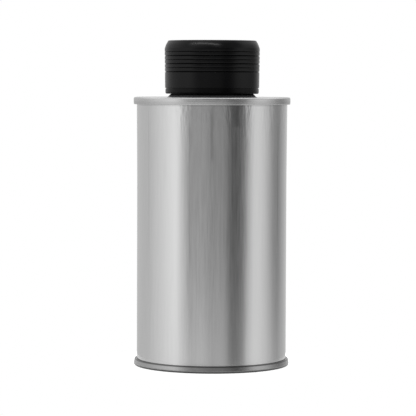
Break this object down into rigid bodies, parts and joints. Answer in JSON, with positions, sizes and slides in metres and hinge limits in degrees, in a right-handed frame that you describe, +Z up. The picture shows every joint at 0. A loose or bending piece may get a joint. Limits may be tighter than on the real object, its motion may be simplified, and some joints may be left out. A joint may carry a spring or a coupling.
{
  "type": "round screw-cap tin",
  "caption": "Bare round metal tin, shut, with a rolled seam at each end and a black ringed screw cap on a flared collar.",
  "frame": {"origin": "centre of the standing ring, on the tin's axis, at the surface it stands on", "axes": "+Z up along the tin's axis, from the standing ring to the cap; +X and +Y are any two square directions across it"},
  "size_m": [0.0597, 0.0596, 0.1237],
  "materials": {
    "wall_tinplate": "bright tinplate with a fine rolled grain up the wall",
    "end_tinplate": "stamped tinplate, slightly duller than the wall",
    "cap_plastic": "satin moulded black polypropylene",
    "collar_plastic": "satin moulded black polyethylene"
  },
  "bodies": {
    "root": {"body": "wall_tinplate", "top_end": "end_tinplate", "bottom_end": "end_tinplate", "collar": "collar_plastic", "cap": "cap_plastic", "tamper_band": "cap_plastic"}
  },
  "joints": []
}
